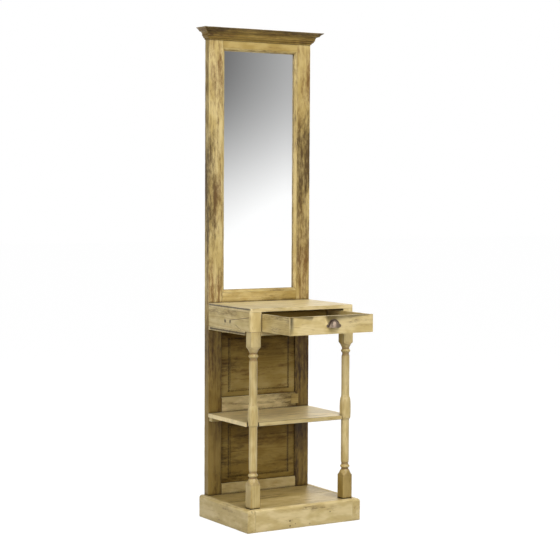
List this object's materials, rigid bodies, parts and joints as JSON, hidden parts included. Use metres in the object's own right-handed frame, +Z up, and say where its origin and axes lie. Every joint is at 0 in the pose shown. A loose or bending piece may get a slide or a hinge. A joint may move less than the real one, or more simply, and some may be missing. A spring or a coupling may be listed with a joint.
{
  "type": "hall stand with mirror and drawer",
  "caption": "Tall free-standing wooden stand: framed mirror over a console with a sliding drawer, turned front legs, a mid shelf, a panelled back, a plinth and a moulded cornice.",
  "frame": {"origin": "on the floor, at the middle of the back, in the plane of the wall", "axes": "+X to the right as one stands in front of the mirror, +Y towards the wall, +Z up"},
  "size_m": [0.598, 0.633, 2.1],
  "materials": {
    "waxed_pine": "satin",
    "panel_pine": "satin",
    "cornice_pine": "satin",
    "inner_pine": "matte",
    "back_board": "matte",
    "mirror": "polished",
    "pull_metal": "satin",
    "screw_metal": "satin"
  },
  "bodies": {
    "stand": {"base_board_back": "waxed_pine", "base_board_front": "waxed_pine", "base_cleat": "inner_pine", "bottom_rail": "waxed_pine", "cornice_front": "cornice_pine", "cornice_return_left": "cornice_pine", "cornice_return_right": "cornice_pine", "drawer_floor": "inner_pine", "drawer_guide_left": "inner_pine", "drawer_guide_right": "inner_pine", "drawer_kicker_left": "inner_pine", "drawer_kicker_right": "inner_pine", "drawer_stop_left": "inner_pine", "drawer_stop_right": "inner_pine", "facing_left": "waxed_pine", "facing_right": "waxed_pine", "frieze_side_left": "waxed_pine", "frieze_side_right": "waxed_pine", "leg_left": "waxed_pine", "leg_right": "waxed_pine", "lock_rail": "waxed_pine", "lower_panel": "panel_pine", "middle_rail": "waxed_pine", "mirror_backboard": "back_board", "mirror_glass": "mirror", "mirror_moulding_bottom": "waxed_pine", "mirror_moulding_left": "waxed_pine", "mirror_moulding_right": "waxed_pine", "mirror_moulding_top": "waxed_pine", "plinth_front": "waxed_pine", "plinth_side_left": "waxed_pine", "plinth_side_right": "waxed_pine", "rail_patch": "waxed_pine", "rear_bead_bottom": "inner_pine", "rear_bead_left": "inner_pine", "rear_bead_right": "inner_pine", "rear_bead_top": "inner_pine", "shelf": "waxed_pine", "shelf_cleat": "inner_pine", "shelf_dowel_left": "inner_pine", "shelf_dowel_right": "inner_pine", "stile_left": "waxed_pine", "stile_right": "waxed_pine", "table_top": "waxed_pine", "top_rail": "waxed_pine", "upper_panel": "panel_pine"},
    "drawer": {"cup_pull": "pull_metal", "drawer_back": "inner_pine", "drawer_bottom": "inner_pine", "drawer_front": "waxed_pine", "drawer_side_left": "inner_pine", "drawer_side_right": "inner_pine", "pull_screw_left": "screw_metal", "pull_screw_right": "screw_metal"}
  },
  "joints": [
    {"name": "drawer_slide", "type": "slide", "parent": "stand", "child": "drawer", "axis": [0, -1, 0], "range_m": [-0.222, 0.07]}
  ]
}
